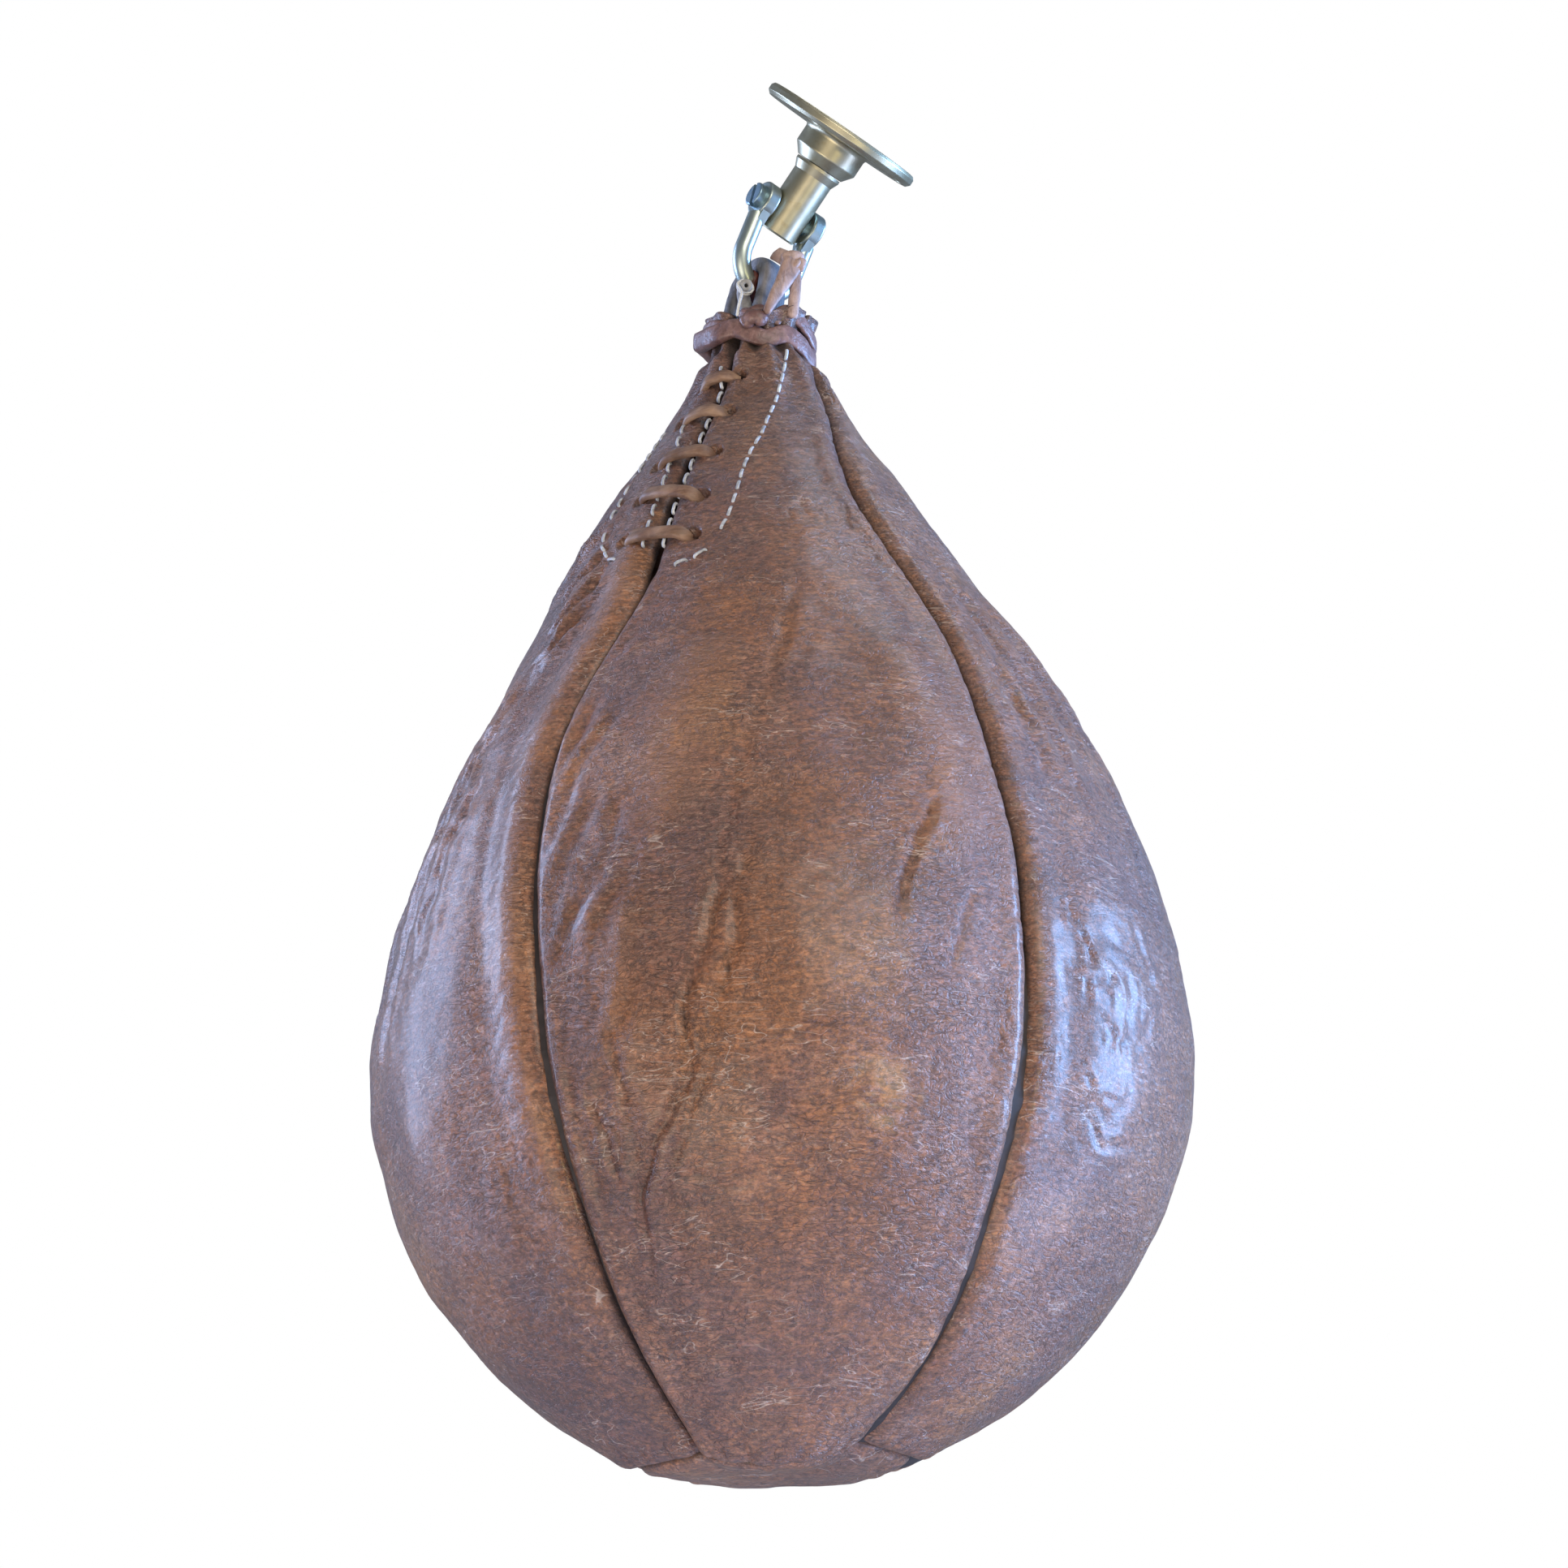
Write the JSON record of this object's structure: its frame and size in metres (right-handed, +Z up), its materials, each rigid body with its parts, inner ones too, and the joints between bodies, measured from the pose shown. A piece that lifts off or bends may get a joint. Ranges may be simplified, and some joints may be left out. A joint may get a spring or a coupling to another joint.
{
  "type": "speed bag",
  "caption": "Pear-shaped laced leather punching bag hung by a leather loop and steel shackle from a brass ball-bearing flange swivel.",
  "frame": {"origin": "centre of the swivel flange's mounting face", "axes": "+Z up along the plumb line of the hanging bag, -Y towards its laced front; at rest the swivel flange leans 44 degrees on the shackle, its mounting face pointing along (0.559, -0.420, 0.715)"},
  "size_m": [0.2433, 0.2433, 0.4561],
  "materials": {
    "brass": "satin, tarnished",
    "bearing_steel": "polished, oiled",
    "zinc_steel": "zinc plated, dulled",
    "bag_leather": "worn, semi-gloss, creased",
    "oxblood_leather": "worn",
    "strap_leather": "weathered, matte",
    "thong_leather": "waxed rawhide",
    "thread": "waxed linen thread",
    "bladder_rubber": "matte",
    "tube_rubber": "matte"
  },
  "bodies": {
    "mount": {"swivel_flange": "brass", "lower_race": "bearing_steel"},
    "bearing": {"bearing_balls": "bearing_steel", "ball_cage": "brass"},
    "spindle": {"spindle": "brass", "spindle_nut": "brass", "nut_lock_pin": "bearing_steel", "upper_race": "bearing_steel"},
    "shackle": {"shackle": "zinc_steel", "shackle_pin": "zinc_steel"},
    "saddle": {"wear_sleeve": "oxblood_leather"},
    "bag": {"hanger_loop": "strap_leather", "panel_front": "bag_leather", "panel_right": "bag_leather", "panel_back_right": "bag_leather", "panel_back_left": "bag_leather", "panel_left": "bag_leather", "base_disc": "bag_leather", "facing_right": "strap_leather", "facing_left": "strap_leather", "lacing": "thong_leather", "lace_tongue": "strap_leather", "facing_stitches": "thread", "neck_binding": "thong_leather", "thong_tail": "thong_leather", "bladder": "bladder_rubber", "valve_tube": "tube_rubber", "tube_tie": "thread"}
  },
  "joints": [
    {"name": "swivel_spin", "type": "hinge", "parent": "mount", "child": "spindle", "pos_m": [0, 0, 0], "axis": [0.5587, -0.4205, 0.7149], "continuous": true},
    {"name": "bearing_spin", "type": "hinge", "parent": "mount", "child": "bearing", "pos_m": [0, 0, 0], "axis": [0.5587, -0.4205, 0.7149], "continuous": true},
    {"name": "shackle_pivot", "type": "hinge", "parent": "spindle", "child": "shackle", "pos_m": [-0.01872, 0.01409, -0.02395], "axis": [-0.7469, -0.6298, 0.2133], "range_deg": [-30, 30]},
    {"name": "bag_sway", "type": "hinge", "parent": "shackle", "child": "saddle", "pos_m": [-0.02483, 0.01584, -0.04021], "axis": [0.5651, -0.7703, -0.2955], "range_deg": [-12, 12]},
    {"name": "bag_rock", "type": "hinge", "parent": "saddle", "child": "bag", "pos_m": [-0.02851, 0.01689, -0.04999], "axis": [-0.7469, -0.6298, 0.2133], "range_deg": [-20, 20]}
  ],
  "couplings": [
    {"joint": "bearing_spin", "follows": "swivel_spin", "ratio": 0.5}
  ]
}
